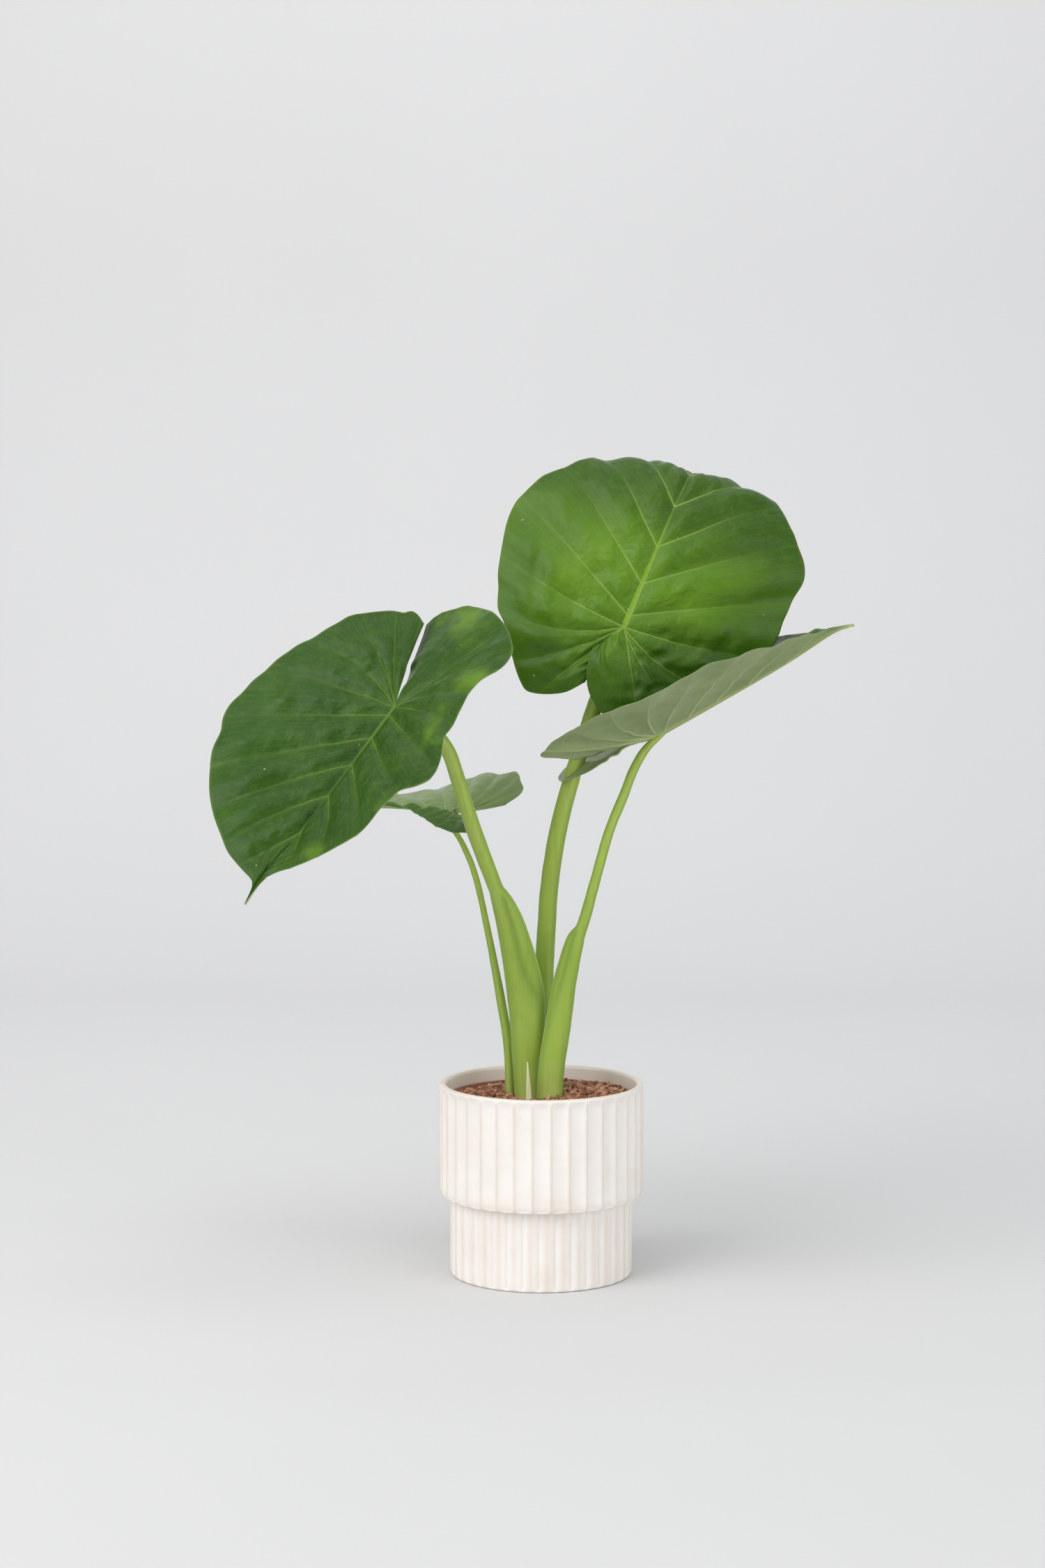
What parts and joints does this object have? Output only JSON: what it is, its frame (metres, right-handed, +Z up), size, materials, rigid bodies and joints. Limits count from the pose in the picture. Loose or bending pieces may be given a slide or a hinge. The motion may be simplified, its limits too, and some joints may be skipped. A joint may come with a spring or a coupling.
{
  "type": "potted alocasia",
  "caption": "Heart-leaved foliage plant with long arching stalks, growing in soil in a plastic grow pot inside a fluted ceramic cover pot.",
  "frame": {"origin": "centre of the flat underside of the cover pot", "axes": "+Z up through the pot; -Y is the side the large upright blade faces; +X is to the right seen from that side"},
  "size_m": [0.4673, 0.3124, 0.6044],
  "materials": {
    "glaze": "satin cream glaze, thinner and tan on the raised edges",
    "grow_plastic": "matt terracotta-coloured plastic",
    "soil": "loose coir and bark",
    "stalk": "smooth, faintly waxy",
    "blade": "glossy above, matt and paler beneath",
    "sheath": "dry, pale"
  },
  "bodies": {
    "root": {"pot": "glaze", "grow_pot": "grow_plastic", "soil": "soil", "stalk_a": "stalk", "blade_a": "blade", "stalk_b": "stalk", "blade_b": "blade", "stalk_c": "stalk", "blade_c": "blade", "stalk_d": "stalk", "blade_d": "blade", "young_sheath": "sheath"}
  },
  "joints": []
}
